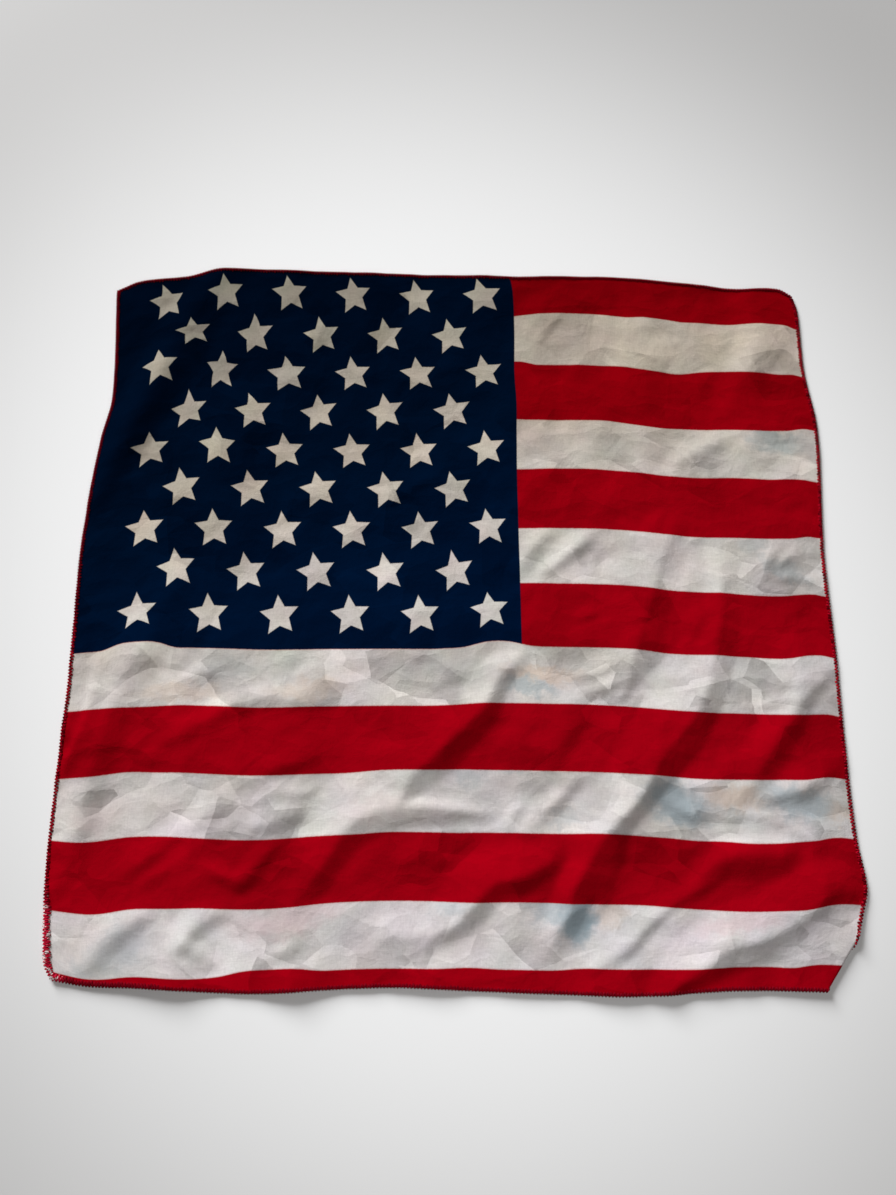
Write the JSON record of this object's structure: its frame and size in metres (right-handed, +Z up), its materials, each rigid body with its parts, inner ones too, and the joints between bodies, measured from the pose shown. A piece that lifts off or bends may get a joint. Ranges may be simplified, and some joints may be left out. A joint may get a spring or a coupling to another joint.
{
  "type": "flag bandana cloth",
  "caption": "Thin square cotton cloth printed with stripes and a star canton, spread loosely on a surface in soft diagonal folds, one corner turned under.",
  "frame": {"origin": "middle of the bounding box in plan, on the surface that the cloth lies on", "axes": "+X from the hoist side, which carries the star canton, to the fly side; +Y to the flag's top edge; +Z up from the surface"},
  "size_m": [0.569, 0.5516, 0.0102],
  "materials": {
    "printed_cotton": "matt plain-weave cotton, printed in deep red, navy and off-white, worn soft and creased",
    "edge_thread": "matt twisted deep red sewing thread, overlocked round the cloth's edge"
  },
  "bodies": {
    "root": {"flag_cloth": "printed_cotton"}
  },
  "joints": []
}
